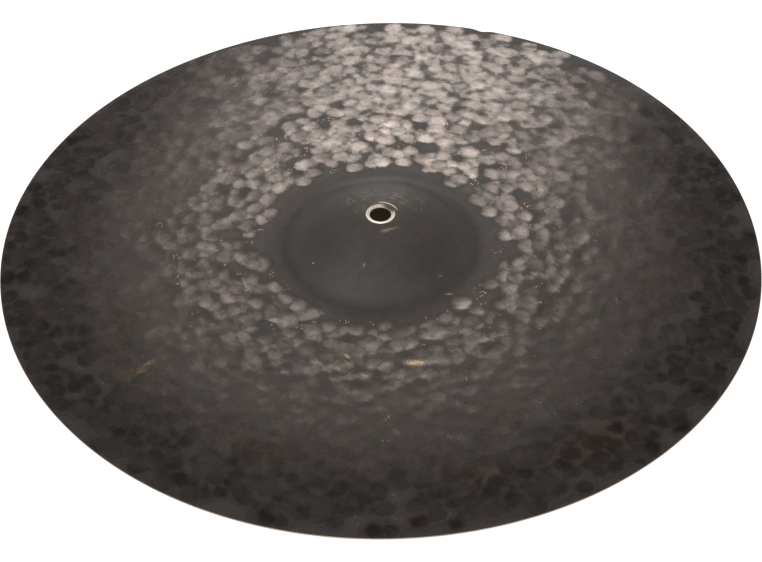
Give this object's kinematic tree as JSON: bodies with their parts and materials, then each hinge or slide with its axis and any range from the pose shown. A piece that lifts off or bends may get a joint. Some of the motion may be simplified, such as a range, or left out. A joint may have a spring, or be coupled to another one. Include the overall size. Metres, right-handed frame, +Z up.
{
  "type": "crash cymbal",
  "caption": "Round bronze crash cymbal: a hand-hammered bow rising to a smooth domed bell, with a bevelled centre hole for a stand, in dark fired oxide.",
  "frame": {"origin": "centre of the plane that the rim rests on", "axes": "+Z up through the centre hole, towards the crown of the bell"},
  "size_m": [0.4572, 0.4572, 0.0395],
  "materials": {
    "fired_bronze": "cast bronze under a dark grey-brown fired oxide, hammer marks burnished to a soft sheen, bare metal on the bevel of the hole and on the cut rim"
  },
  "bodies": {
    "root": {"cymbal": "fired_bronze"}
  },
  "joints": []
}
